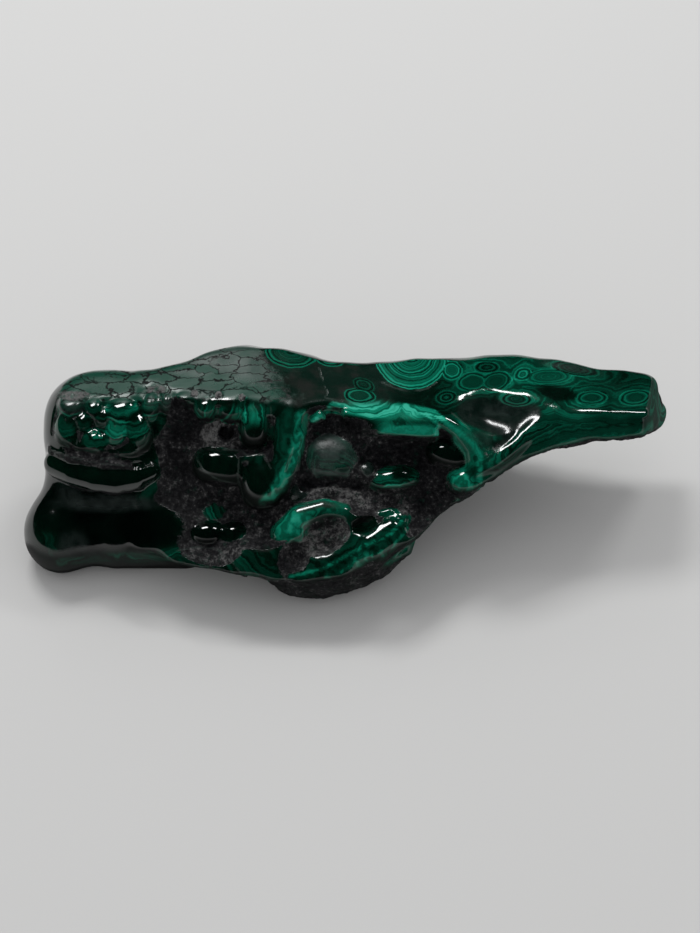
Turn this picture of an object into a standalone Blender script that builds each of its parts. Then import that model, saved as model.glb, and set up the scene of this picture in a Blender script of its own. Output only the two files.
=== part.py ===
"""A polished free-form malachite specimen: one stone, lying on a flat ground base.

The stone is laid out in millimetres on its carved face: x runs along its length from left to right, y up the
face and z straight out of it. The face leans back as the stone lies, so the whole layout is turned by LEAN
about X, and the stone stands on z = 0 with its front towards -Y. The trunk is a bar whose section changes
along x. Bodies such as the left lobe, the foot and the claw are added to it, and the relief of valleys, pits,
ribs and nodules is carved into it in stages. A ground plane cuts the top, and the flat base is cut last.
"""

import math

import bmesh
import bpy
import numpy as np
from mathutils import Matrix

MM = 0.001
NAME = "malachite_stone"
COLLECTION = "malachite_specimen"

# driving dimensions, in mm on the layout
LEAN = math.radians(40)
LEFT_END = -62
RIGHT_END = 90
END_HEIGHT = 15
END_SLANT = math.radians(21)
TOP_FALL = 0.1
UNDERCUT = 0.1
EDGE = 1.4
TOP_EDGE = 1.3
BASE_CUT = 2.5
RIPPLES = ((0.35, 17, 0.4, 0.2), (0.3, 11, 1.3, 1.1), (0.2, 7.5, 2.3, 2.6))

# carving: how far the relief starts out of its place, and the grain of the mesh it ends with
LIFT = 9
ROUGH_GRAIN = 2.0
GRAIN = 1.3
TRIANGLES = 9000

# the trunk's sections: x, upper edge, lower edge and face height on the layout, then as the stone stands the
# level of its top, the level of its underside and how far back it reaches
STATIONS = (
    (-94, 42.0, -9, 27, 47.0, 0, 27),
    (-64, 42.0, -9, 27, 48.0, 0, 28),
    (-50, 45.0, -13, 33, 49.0, 0, 31),
    (-40, 48.2, -15, 36, 49.5, 0, 33.5),
    (-30, 50.2, -17, 37, 50.0, 0, 34.5),
    (-20, 49.2, -19, 37, 49.5, 0, 34),
    (-10, 46.8, -19, 37, 48.5, 0, 32.5),
    (0, 45.2, -16, 37, 47.5, 0, 31.5),
    (10, 45.2, -12, 37, 46.8, 2, 31),
    (20, 46.2, -5.5, 37, 46.3, 6, 30.5),
    (30, 46.8, 3.5, 36, 46.0, 10, 30),
    (40, 48.4, 10, 34.5, 45.5, 13, 30),
    (50, 49.4, 15.5, 31.5, 44.0, 16, 30),
    (60, 47.6, 19.5, 29.5, 42.8, 18.5, 28.5),
    (70, 45.4, 21.5, 28.5, 41.8, 20, 26.5),
    (80, 43.8, 22.3, 28, 41.0, 21, 25.5),
    (94, 42.2, 23.0, 27.5, 40.0, 21.5, 25),
)


def lump(name, centre, radii, turn=0, blend=2.0, square=2.0):
    """A rounded body of stone, turned on the face by turn degrees; square above 2 fills out its corners."""
    return {"name": name, "kind": "lump", "centre": centre, "radii": radii, "turn": turn, "blend": blend,
            "square": square}


def hollow(name, centre, radii, turn=0, blend=2.0, square=2.0):
    """The same, cut away."""
    return lump(name, centre, radii, turn, blend, square) | {"kind": "hollow"}


def ridge(name, points, blend=1.5):
    """A rib of stone through points (x, y, z, radius)."""
    return {"name": name, "kind": "ridge", "points": points, "blend": blend}


def groove(name, points, blend=1.5):
    """The same, cut away."""
    return ridge(name, points, blend) | {"kind": "groove"}


BODIES = (
    lump("left_lobe", (-69.8, 25.2, 17), (19.6, 17.8, 18.6), blend=3, square=2.5),
    lump("foot_knob", (-85, -4.7, 16), (10, 11.6, 11.5), blend=4),
    ridge("foot", [(-84, -4, 15, 9.5), (-68, -3.3, 15, 12), (-50, -1.5, 11.5, 14)], blend=5),
    ridge("heel_web", [(-84, 0, 14, 7), (-81, 12, 14, 8.5)], blend=5),
    ridge("web", [(-79.4, 6.5, 17.4, 7.6), (-60, 7, 18.5, 9)], blend=4),
    ridge("under_lobe", [(-77, 12.5, 5, 8.5), (-58, 13, 3, 14)], blend=7),
    lump("claw_lobe", (-4, -9.2, 20.5), (21.5, 13, 16), turn=17, blend=3, square=2.3),
)
RELIEF = (
    # the main valley, from behind the left lobe down and across to the lower right edge
    groove("valley", [(-49.5, 27.5, 42, 8), (-48.5, 20, 42, 12.5), (-46, 11, 42, 14.5),
                      (-38, 5, 42, 14), (-25, 2.5, 41, 11.5), (-12, 8, 38, 5.5), (-3, 8.5, 38, 5.5),
                      (6, 7, 38.5, 6.5), (17, 4.5, 40, 9.5), (29, 0, 41, 10)], blend=3),
    hollow("lower_terrace", (-43, -6, 48), (18, 13, 16.5), blend=3),
    groove("row_bed", [(-51, 28, 38, 5.5), (-42, 25.5, 37, 7), (-33, 24.5, 37, 7), (-26, 24, 36.5, 5.5)],
           blend=1.5),
    groove("bowl", [(-6, 24.5, 39.5, 9), (-6, 18, 41.5, 11.5), (-6.5, 13, 44.5, 12)], blend=2.5),
    groove("cave", [(6, 17.5, 39, 7.5), (16, 17, 39, 9.5), (27, 17.5, 39, 8.5), (32.5, 15.5, 38.5, 6)],
           blend=2),
    groove("side_pit", [(18, 9, 40, 9), (26, 8, 38, 8.5)], blend=2.5),

    # the left lobe with its bed of nodules, its lip and the foot under it
    groove("notch", [(-64, 46.2, 18, 2.6), (-63.5, 45, 24, 1.8), (-62.5, 42, 28.5, 0.6)], blend=1),
    hollow("nodule_bed", (-70, 25.4, 44), (16.4, 10, 11), blend=1.5),
    groove("bed_top", [(-80, 32, 40.2, 7.4), (-68, 32.6, 40.2, 7.6), (-57, 32.4, 40.2, 7.4)], blend=1),
    groove("bed_rim", [(-84, 31, 31.5, 1), (-85, 25, 31, 1.3), (-80.5, 19.6, 34, 1.4),
                       (-72, 17.4, 36.3, 1.8), (-62, 17.2, 36, 2), (-55, 19, 34, 2.4)], blend=1),
    groove("side_crease", [(-54.6, 33, 36, 1.4), (-55.5, 26, 35.5, 2.2), (-54.5, 19, 34, 2.8)],
           blend=1.5),
    ridge("jagged_rim", [(-85.5, 19.5, 28, 1.6), (-79, 17.2, 32.6, 1.5), (-70, 15.4, 34, 1.4),
                         (-62, 15, 34, 1.3), (-56, 16, 32.6, 1)], blend=0.8),
    ridge("lip", [(-84.4, 15.6, 26, 4), (-79, 13.2, 28.8, 4.3), (-73, 11.6, 30.4, 4.4),
                  (-67, 11, 31, 4.3), (-61.5, 11.8, 30.8, 3.9), (-57.4, 13.2, 30, 2.9)], blend=0.8),
    ridge("rough_crest", [(-60, 4.6, 26.6, 2), (-55, 1.4, 27.8, 2.4), (-50, -1.8, 28.6, 2.4),
                          (-47.4, -6, 27.6, 2)], blend=1.5),
    lump("nodule_1", (-65.2, 30.2, 30.2), (5.8, 5.2, 5.6), blend=0.5),
    lump("nodule_2", (-73.2, 31.2, 30), (3.3, 4.4, 5.4), blend=0.5),
    lump("nodule_3", (-79.8, 31.6, 29), (4.3, 4.6, 5.6), blend=0.5),
    lump("nodule_4", (-72.8, 21.8, 31.2), (4.4, 3.9, 5), blend=1.4),
    lump("nodule_5", (-66.8, 24.2, 31.4), (3.3, 4.4, 5), turn=-12, blend=1.4),
    lump("nodule_6", (-60.6, 24.6, 31), (3.7, 5.4, 5), turn=8, blend=1.4),
    lump("nodule_7", (-80.8, 24.8, 30.2), (3.9, 5.2, 5), turn=12, blend=1.4),
    lump("nodule_8", (-76.2, 27, 30.6), (2.7, 3.1, 4.6), blend=1.4),
    lump("nodule_9", (-57.2, 31.4, 29.6), (2.9, 4.8, 5), turn=-8, blend=0.5),
    lump("nodule_10", (-52.4, 33, 30), (2.4, 3.5, 4.6), blend=0.5),
    lump("nodule_11", (-70.7, 28, 31), (2.5, 2.9, 4.5), blend=1.4),
    lump("nodule_12", (-77, 20.4, 30), (2.6, 2, 4.4), blend=1.4),
    lump("nodule_13", (-63.4, 18.8, 31), (3.4, 1.6, 4.2), turn=6, blend=1.4),

    # the row of nodules under the top face and the green blocks and tongue beneath it
    lump("row_1", (-47, 34.6, 32.7), (2.7, 2.2, 3), blend=0.5),
    lump("row_2", (-41, 31.8, 32.6), (3.6, 4.2, 4.8), blend=0.5),
    lump("row_3", (-34, 30.8, 33), (3.8, 3.6, 4.6), blend=0.5),
    lump("row_4", (-27.2, 26.8, 32.2), (4.2, 6.8, 5.8), blend=0.5, square=2.4),
    lump("crust", (-36, 23.6, 29), (6.4, 5.2, 4.8), blend=2),
    hollow("hole", (-35.3, 24.4, 35), (2.2, 2.1, 8), blend=0.8),
    lump("inner_lobe", (-36.6, 14.8, 28.4), (8.7, 5.8, 8.4), turn=-8, blend=0.7, square=2.3),
    groove("tongue_bed", [(-18.4, 26, 42, 7), (-19.4, 12, 42, 7.5)], blend=1.5),
    ridge("tongue", [(-17.6, 29.4, 32.6, 4.4), (-17.4, 23, 33.2, 4.3), (-18.2, 16, 33.2, 4.1),
                     (-21.4, 9.6, 31.6, 3.9)], blend=1),
    groove("tongue_crease", [(-14.6, 27.5, 37.6, 0.9), (-15, 20, 37.4, 1.1), (-17.4, 13, 36.6, 1)],
           blend=0.8),
    lump("tongue_tip", (-25.4, 10.6, 29.6), (6.4, 8.4, 8.2), turn=6, blend=0.7, square=2.2),
    lump("tongue_side", (-13.6, 8.6, 27.4), (4.4, 6.4, 6.4), turn=-28, blend=0.8),

    # the pocket with its satin lobe, the ledge over it, and what stands in the cave
    lump("satin_lobe", (-5.2, 16.6, 28), (8.8, 7.4, 7.2), turn=-10, blend=1.4, square=2.3),
    groove("crevice", [(-13, 9.4, 34, 1.8), (-6, 8.6, 34.4, 2.6), (2, 8.8, 34.2, 2.4),
                       (7, 8, 33.6, 1.6)], blend=1),
    lump("bowl_bead", (-2.6, 14.8, 32.6), (3.0, 1.7, 3), blend=0.6),
    lump("bowl_foot", (4.8, 13.2, 29.6), (2.6, 3.2, 4), blend=0.8),
    lump("leaf", (12.4, 10.8, 29.6), (7.8, 4.2, 5.6), turn=6, blend=0.8),
    hollow("leaf_dimple", (14.6, 12, 37.4), (3.4, 1.6, 3), turn=6, blend=0.8),
    lump("cave_lobe", (28.2, 18, 29.6), (6.6, 4.4, 6), turn=-20, blend=0.8),
    lump("ledge", (15.6, 26, 31.4), (10.2, 3.6, 5.9), turn=-4, blend=0.6, square=3.6),
    ridge("ledge_end", [(-10, 28.2, 33.8, 1.4), (-7, 30, 34.8, 1.5), (0, 29.4, 35, 1.9),
                        (8, 27.6, 35, 2)], blend=0.8),
    groove("ledge_split", [(16, 30.4, 37.6, 0.9), (23, 28.8, 37.2, 1.1), (27.5, 25, 36.6, 1.3)],
           blend=0.6),
    ridge("band", [(17, 32, 34.6, 2.2), (25, 29.4, 34.8, 2.6), (31, 25, 34.4, 2.9),
                   (35, 19.8, 33.6, 2.9), (36.2, 14.5, 32, 3)], blend=1),
    lump("banded_lobe", (32.6, 10.4, 29.8), (5.2, 4.6, 6.2), turn=10, blend=0.7),
    ridge("band_foot", [(24.5, 4.2, 28.6, 1.7), (31, 6, 28.6, 1.8), (37, 10, 28.6, 1.8)], blend=1),

    # the claw: a ring-shaped rib curled round a pit, with ribs running under it
    ridge("halo", [(-15.5, 3.2, 31, 1.4), (-10.5, 6.9, 32.2, 1.3), (-4, 8, 32.4, 1.3),
                   (2, 6.4, 32, 1.4), (5.5, 2.6, 31.6, 1.6)], blend=0.8),
    ridge("arch", [(-20.6, -9.5, 30, 2.4), (-19, -4.4, 32.6, 3.6), (-14.2, 0, 33.6, 3.9),
                   (-7.5, 2.2, 33.8, 3.1), (-2, 1.2, 34, 2.9), (0.6, -2.6, 33.4, 1.9)], blend=1),
    ridge("claw", [(-15, -18, 26, 4), (-5, -13.5, 31.6, 4.8), (6, -8.4, 34.6, 5.2), (12, -4.2, 33, 4.8),
                   (13.6, -0.8, 32, 3)], blend=1),
    hollow("ring_pit", (-7.4, -5.2, 42.2), (8.8, 5.4, 10), turn=24, blend=3),
    hollow("lower_pit", (-15.8, -10.8, 41.6), (4.4, 5, 8.6), turn=10, blend=3),
    hollow("hook_pit", (4.2, -1.6, 39.4), (4.6, 2.3, 6.2), turn=24, blend=1),
    ridge("wavy_rim", [(2.2, 0.8, 32.6, 1.2), (5, -0.2, 33, 1.2), (8, 0.6, 33, 1.3),
                       (11.5, 1.6, 32.8, 1.2)], blend=0.8),
    ridge("flow_1", [(-12, -19.4, 24.5, 2.4), (-3, -17, 28.4, 2.4), (6, -12.8, 31.2, 2.4),
                     (13, -6.6, 32, 2.4)], blend=0.7),
    ridge("claw_rim", [(14.6, 1, 31, 2.2), (17.4, -3.6, 29.6, 2.3), (15.4, -9, 28, 2.6),
                       (8, -13.6, 27, 2.6)], blend=0.8),
    ridge("claw_root", [(-21, -11.5, 30.6, 1.5), (-21.8, -17.5, 26.5, 2)], blend=1),
    lump("dark_nodule_1", (-40.8, -4.6, 28), (6, 3.9, 5.4), blend=0.6),
    lump("dark_nodule_2", (-33.2, -4.9, 28.4), (4.6, 3.9, 5.4), blend=0.6),
    ridge("green_rib", [(-31.2, -6, 31.2, 2.0), (-31.6, -11, 29.6, 2.0), (-30.6, -15, 26, 2)],
          blend=0.8),
    ridge("lower_rim", [(-50, -9.5, 27.5, 1.2), (-43, -9, 28.6, 1.3), (-36.5, -10.8, 27.4, 1.4),
                        (-32.5, -14.5, 24.6, 1.2)], blend=1.2),

    # the neck: its shoulder ridge, the crease over it and the scooped place where it leaves the body
    groove("neck_scoop", [(35.5, 33, 37, 5.6), (42, 32.8, 36.6, 8.2), (49, 32.4, 35.6, 8),
                          (56, 32.8, 34, 4)], blend=2),
    groove("scoop_floor", [(36, 34, 37, 6.6), (38, 33.2, 37, 7.4), (46, 29.6, 37, 7.4)], blend=3),
    groove("crease", [(38, 20.4, 36.6, 1.2), (43, 20.6, 34.6, 1.6), (47.5, 23, 32.6, 1.4)], blend=2),
    ridge("shoulder", [(35, 13.2, 33.8, 2), (41, 16, 33.2, 2), (47, 20.4, 31.4, 2), (53.5, 26, 28.8, 2),
                       (61, 30, 26.8, 1.8), (86, 30.8, 26.4, 1.5)], blend=1.5),
)


def smooth_min(a, b, width):
    """The lesser of two distances, rounded over where they are within width of each other."""
    nearness = np.maximum(width - np.abs(a - b), 0) / width
    return np.minimum(a, b) - nearness * nearness * width / 4


def stands(points):
    """Depth from the front and level over the base of layout points, as the stone stands."""
    y, z = points[:, 1], points[:, 2]
    return y * math.cos(LEAN) - z * math.sin(LEAN), y * math.sin(LEAN) + z * math.cos(LEAN)


def eased(x, column):
    """One column of STATIONS, drawn smoothly through its values and read at x."""
    table = np.array(STATIONS, float)
    at, value = table[:, 0], table[:, column]
    slope = np.gradient(value, at)
    x = np.clip(x, at[0], at[-1])
    i = np.clip(np.searchsorted(at, x) - 1, 0, len(at) - 2)
    span = at[i + 1] - at[i]
    t = (x - at[i]) / span
    return (
        value[i] * (1 + 2 * t) * (1 - t) ** 2
        + value[i + 1] * t * t * (3 - 2 * t)
        + slope[i] * span * t * (1 - t) ** 2
        + slope[i + 1] * span * t * t * (t - 1)
    )


def ripple(points):
    """The slight waves that polishing by hand leaves in every face."""
    x, y, z = points.T
    waves = np.zeros(len(points))
    for height, length, turn, start in RIPPLES:
        u = (x * math.cos(turn) + (y + z) * math.sin(turn)) / length
        v = (y * math.cos(turn) - z - x * math.sin(turn)) / length
        waves += height * np.sin(2 * math.pi * u / 1.7 + start) * np.sin(2 * math.pi * v / 2.1 + 2 * start)
    return waves


def trunk(points):
    """Distance from the trunk: its section's six sides and its two ends, met with rounded edges."""
    x, y, z = points.T
    depth, level = stands(points)
    upper, lower, face, top, under, back = (eased(x, column) for column in range(1, 7))
    end = (x - RIGHT_END) * math.cos(END_SLANT) + (z - END_HEIGHT) * math.sin(END_SLANT)
    below = (lower + UNDERCUT * (face - z) - y) / math.hypot(1, UNDERCUT)
    above, beneath = level - top - TOP_EDGE, under - BASE_CUT - level
    planes = np.stack([y - upper, below, z - face, above, beneath, depth - back, LEFT_END - x, end])
    most = planes.max(axis=0)
    return most + EDGE * np.log(np.exp((planes - most) / EDGE).sum(axis=0)) + ripple(points)


def ellipsoid(points, form):
    """Distance from a lump or a hollow."""
    c, s = math.cos(math.radians(form["turn"])), math.sin(math.radians(form["turn"]))
    q = points - np.array(form["centre"], float)
    q = np.stack([c * q[:, 0] + s * q[:, 1], -s * q[:, 0] + c * q[:, 1], q[:, 2]], axis=1)
    radii = np.array(form["radii"], float)
    power = form["square"]
    u = np.abs(q / radii) + 1e-9
    size = (u ** power).sum(axis=1) ** (1 / power)
    slope = np.linalg.norm(size[:, None] ** (1 - power) * u ** (power - 1) / radii, axis=1)
    return (size - 1) / slope


def rod(points, form):
    """Distance from a ridge or a groove."""
    path = np.array(form["points"], float)
    best = np.full(len(points), 1e9)
    for a, b in zip(path, path[1:]):
        run = b[:3] - a[:3]
        t = np.clip((points - a[:3]) @ run / (run @ run), 0, 1)
        away = np.linalg.norm(points - a[:3] - t[:, None] * run, axis=1)
        best = np.minimum(best, away - a[3] - t * (b[3] - a[3]))
    return best


def reach(form):
    """Centre and radius of a sphere that holds all that a form can change."""
    if "points" in form:
        path = np.array(form["points"], float)
        low, high = path[:, :3].min(axis=0), path[:, :3].max(axis=0)
        return (low + high) / 2, np.linalg.norm(high - low) / 2 + path[:, 3].max() + form["blend"] + 2
    return np.array(form["centre"], float), max(form["radii"]) * 1.25 + form["blend"] + 2


def field(points, lift=0.0):
    """Signed distance in mm from the stone's surface, below zero inside.

    While the relief is being carved, its cuts stand lift mm out of the face and its bodies lie as deep
    in it.
    """
    value = trunk(points)
    for form in BODIES + RELIEF:
        cut = form["kind"] in ("hollow", "groove")
        offset = 0 if form in BODIES else lift if cut else -lift
        moved = points - (0, 0, offset)
        centre, radius = reach(form)
        near = np.flatnonzero(((moved - centre) ** 2).sum(axis=1) < radius ** 2)
        distance = (rod if "points" in form else ellipsoid)(moved[near], form)
        if cut:
            value[near] = -smooth_min(-value[near], distance, form["blend"])
        else:
            value[near] = smooth_min(value[near], distance, form["blend"])
    depth, level = stands(points)
    top = eased(points[:, 0], 4) - TOP_FALL * depth - level
    return -smooth_min(-value, top, TOP_EDGE)


def relaxed(points, edges):
    """Points moved half way to the mean of their neighbours."""
    total = np.zeros_like(points)
    count = np.bincount(edges.ravel(), minlength=len(points))[:, None]
    for near, far in (edges.T, edges.T[::-1]):
        for axis in range(3):
            total[:, axis] += np.bincount(near, points[far, axis], len(points))
    return (points + total / np.maximum(count, 1)) / 2


def settle(mesh, rounds, lift=0.0):
    """Moves a mesh's vertices, in mm, onto the stone's surface, evening them out on the way."""
    points = np.empty(len(mesh.vertices) * 3, np.float32)
    mesh.vertices.foreach_get("co", points)
    points = points.reshape(-1, 3).astype(float)
    edges = np.empty(len(mesh.edges) * 2, np.int32)
    mesh.edges.foreach_get("vertices", edges)
    edges = edges.reshape(-1, 2)
    step = 0.05
    longest = 1.5
    for turn in range(rounds):
        if turn < rounds - 1:
            points = relaxed(points, edges)
        value = field(points, lift)
        slope = [field(points + axis, lift) - field(points - axis, lift) for axis in np.eye(3) * step]
        slope = np.stack(slope, axis=1) / (2 * step)
        move = -(value / np.maximum((slope ** 2).sum(axis=1), 0.5))[:, None] * slope
        length = np.linalg.norm(move, axis=1)[:, None]
        points += move * np.minimum(1, longest / np.maximum(length, 1e-9))
    mesh.vertices.foreach_set("co", points.astype(np.float32).ravel())
    mesh.update()


def blank_mesh():
    """The stone before carving: the trunk as a lofted bar, with balls for the bodies."""
    bm = bmesh.new()
    rings = []
    for x, upper, lower, face, _top, under, _back in STATIONS:
        middle = (upper + lower) / 2
        low = (under - middle * math.sin(LEAN)) / math.cos(LEAN)
        section = (
            Matrix.Translation((x, middle, (face + low) / 2))
            @ Matrix.Diagonal((1, (upper - lower) / 2, (face - low) / 2, 1))
            @ Matrix.Rotation(math.radians(90), 4, "Y")
        )
        made = bmesh.ops.create_circle(bm, segments=32, radius=1, matrix=section)
        rings.append(list({edge for vert in made["verts"] for edge in vert.link_edges}))
    for ring, following in zip(rings, rings[1:]):
        bmesh.ops.bridge_loops(bm, edges=ring + following)
    for ring in (rings[0], rings[-1]):
        bmesh.ops.contextual_create(bm, geom=ring)
    for form in BODIES:
        if form["kind"] == "lump":
            place = Matrix.Translation(form["centre"]) @ Matrix.Rotation(math.radians(form["turn"]), 4, "Z")
            place = place @ Matrix.Diagonal((*form["radii"], 1))
            bmesh.ops.create_icosphere(bm, subdivisions=4, radius=1, matrix=place)
            continue
        path = np.array(form["points"], float)
        for a, b in zip(path, path[1:]):
            for t in np.linspace(0, 1, 6):
                *spot, radius = a + t * (b - a)
                place = Matrix.Translation(spot)
                bmesh.ops.create_icosphere(bm, subdivisions=3, radius=radius, matrix=place)
    bmesh.ops.recalc_face_normals(bm, faces=bm.faces)
    mesh = bpy.data.meshes.new(NAME)
    bm.to_mesh(mesh)
    bm.free()
    return mesh


def with_modifier(mesh, kind, **settings):
    """The mesh as a modifier leaves it."""
    holder = bpy.data.objects.new("holder", mesh)
    bpy.context.scene.collection.objects.link(holder)
    modifier = holder.modifiers.new(kind.lower(), kind)
    for key, value in settings.items():
        setattr(modifier, key, value)
    graph = bpy.context.evaluated_depsgraph_get()
    made = bpy.data.meshes.new_from_object(holder.evaluated_get(graph))
    bpy.data.objects.remove(holder)
    bpy.data.meshes.remove(mesh)
    return made


def carved_mesh(grain):
    """The blank with the relief let into it a millimetre at a time, meshed afresh at each stage."""
    mesh = blank_mesh()
    for lift in range(LIFT, -1, -1):
        mesh = with_modifier(mesh, "REMESH", mode="VOXEL", voxel_size=ROUGH_GRAIN)
        settle(mesh, 4, lift)
    for size in ((ROUGH_GRAIN + grain) / 2, grain, grain):
        mesh = with_modifier(mesh, "REMESH", mode="VOXEL", voxel_size=size)
        settle(mesh, 5)
    return mesh


def stand_and_cut(mesh):
    """Turns the stone as it stands, in metres, and cuts it off flat at the base."""
    mesh.transform(Matrix.Scale(MM, 4) @ Matrix.Rotation(LEAN, 4, "X"))
    bm = bmesh.new()
    bm.from_mesh(mesh)
    cut = bmesh.ops.bisect_plane(
        bm, geom=bm.verts[:] + bm.edges[:] + bm.faces[:], dist=1e-6, plane_co=(0, 0, 0), plane_no=(0, 0, 1),
        clear_inner=True,
    )
    edges = [item for item in cut["geom_cut"] if isinstance(item, bmesh.types.BMEdge)]
    bmesh.ops.holes_fill(bm, edges=edges, sides=0)
    bmesh.ops.recalc_face_normals(bm, faces=bm.faces)
    bm.to_mesh(mesh)
    bm.free()


def polished_malachite():
    """Dark green stone with a hard polish."""
    material = bpy.data.materials.new("polished_malachite")
    material.use_nodes = True
    shader = material.node_tree.nodes["Principled BSDF"]
    shader.inputs["Base Color"].default_value = (0.004, 0.075, 0.045, 1)
    shader.inputs["Roughness"].default_value = 0.12
    shader.inputs["Metallic"].default_value = 0
    return material


def main():
    for old in list(bpy.data.objects):
        bpy.data.objects.remove(old)
    collection = bpy.data.collections.new(COLLECTION)
    bpy.context.scene.collection.children.link(collection)
    mesh = carved_mesh(GRAIN)
    fine = sum(len(face.vertices) - 2 for face in mesh.polygons)
    mesh = with_modifier(mesh, "DECIMATE", ratio=TRIANGLES / fine)
    stand_and_cut(mesh)
    mesh.name = NAME
    mesh.materials.append(polished_malachite())
    mesh.shade_smooth()
    stone = bpy.data.objects.new(NAME, mesh)
    collection.objects.link(stone)
    return stone


if __name__ == "__main__":
    main()
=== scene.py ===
import math

import bmesh
import bpy
import numpy as np
from mathutils import Matrix, Vector, noise


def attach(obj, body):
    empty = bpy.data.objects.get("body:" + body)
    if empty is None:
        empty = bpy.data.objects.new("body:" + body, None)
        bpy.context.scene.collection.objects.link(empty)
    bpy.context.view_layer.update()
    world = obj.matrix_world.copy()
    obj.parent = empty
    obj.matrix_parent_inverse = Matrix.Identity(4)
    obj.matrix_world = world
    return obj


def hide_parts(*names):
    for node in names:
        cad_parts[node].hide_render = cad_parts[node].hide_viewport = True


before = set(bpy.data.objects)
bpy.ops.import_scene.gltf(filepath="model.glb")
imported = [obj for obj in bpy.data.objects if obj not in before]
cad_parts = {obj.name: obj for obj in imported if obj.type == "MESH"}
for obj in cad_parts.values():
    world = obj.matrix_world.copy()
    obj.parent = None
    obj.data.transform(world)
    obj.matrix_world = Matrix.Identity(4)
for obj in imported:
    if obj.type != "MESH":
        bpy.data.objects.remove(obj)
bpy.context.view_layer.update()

# THE STONE
# One free-form piece of malachite, ground and polished where it is hard and left rough where it is dull matrix. It is
# laid out in millimetres on its carved face (x along the stone, y up the face, z out of it), carved from a blank in
# stages, and then turned to lie on its ground base.
MM = 0.001
LEAN = math.radians(40)
LEFT_END = -62
RIGHT_END = 90
END_HEIGHT = 15
END_SLANT = math.radians(21)
TOP_FALL = 0.1
UNDERCUT = 0.1
EDGE = 1.4
TOP_EDGE = 1.3
SCOOP_EDGE = 3.6
SCOOP_SPAN = (26, 36, 56, 66)
BASE_CUT = 2.5
RIPPLES = ((0.35, 17, 0.4, 0.2), (0.3, 11, 1.3, 1.1), (0.2, 7.5, 2.3, 2.6))
LIFT = 9
ROUGH_GRAIN = 2.0
GRAIN = 0.63
NAME = "polished_stone"

# the trunk's sections: x, upper edge, lower edge and face height on the layout, then as the stone stands the level
# of its top, the level of its underside and how far back it reaches
STATIONS = (
    (-94, 42.0, -9, 27, 47.0, 0, 27),
    (-64, 42.0, -9, 27, 48.0, 0, 28),
    (-50, 45.0, -13, 33, 49.0, 0, 31),
    (-40, 48.2, -15, 36, 49.5, 0, 33.5),
    (-30, 50.2, -17, 37, 50.0, 0, 34.5),
    (-20, 49.2, -19, 37, 49.5, 0, 34),
    (-10, 46.8, -19, 37, 48.5, 0, 32.5),
    (0, 45.2, -16, 37, 47.5, 0, 31.5),
    (10, 45.2, -12, 37, 46.8, 2, 31),
    (20, 46.2, -5.5, 37, 46.3, 6, 30.5),
    (30, 46.8, 3.5, 36, 46.0, 10, 30),
    (40, 48.4, 10, 34.5, 45.5, 13, 30),
    (50, 49.4, 15.5, 31.5, 44.0, 16, 30),
    (60, 47.6, 19.5, 29.5, 42.8, 18.5, 28.5),
    (70, 45.4, 21.5, 28.5, 41.8, 20, 26.5),
    (80, 43.8, 22.3, 28, 41.0, 21, 25.5),
    (94, 42.2, 23.0, 27.5, 40.0, 21.5, 25),
)


def lump(name, centre, radii, turn=0, blend=2.0, square=2.0):
    """A rounded body of stone, turned on the face by turn degrees; square above 2 fills out its corners."""
    return {"name": name, "kind": "lump", "centre": centre, "radii": radii, "turn": turn, "blend": blend,
            "square": square}


def hollow(name, centre, radii, turn=0, blend=2.0, square=2.0):
    """The same, cut away."""
    return lump(name, centre, radii, turn, blend, square) | {"kind": "hollow"}


def ridge(name, points, blend=1.5):
    """A rib of stone through points (x, y, z, radius)."""
    return {"name": name, "kind": "ridge", "points": points, "blend": blend}


def groove(name, points, blend=1.5):
    """The same, cut away."""
    return ridge(name, points, blend) | {"kind": "groove"}


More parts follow.
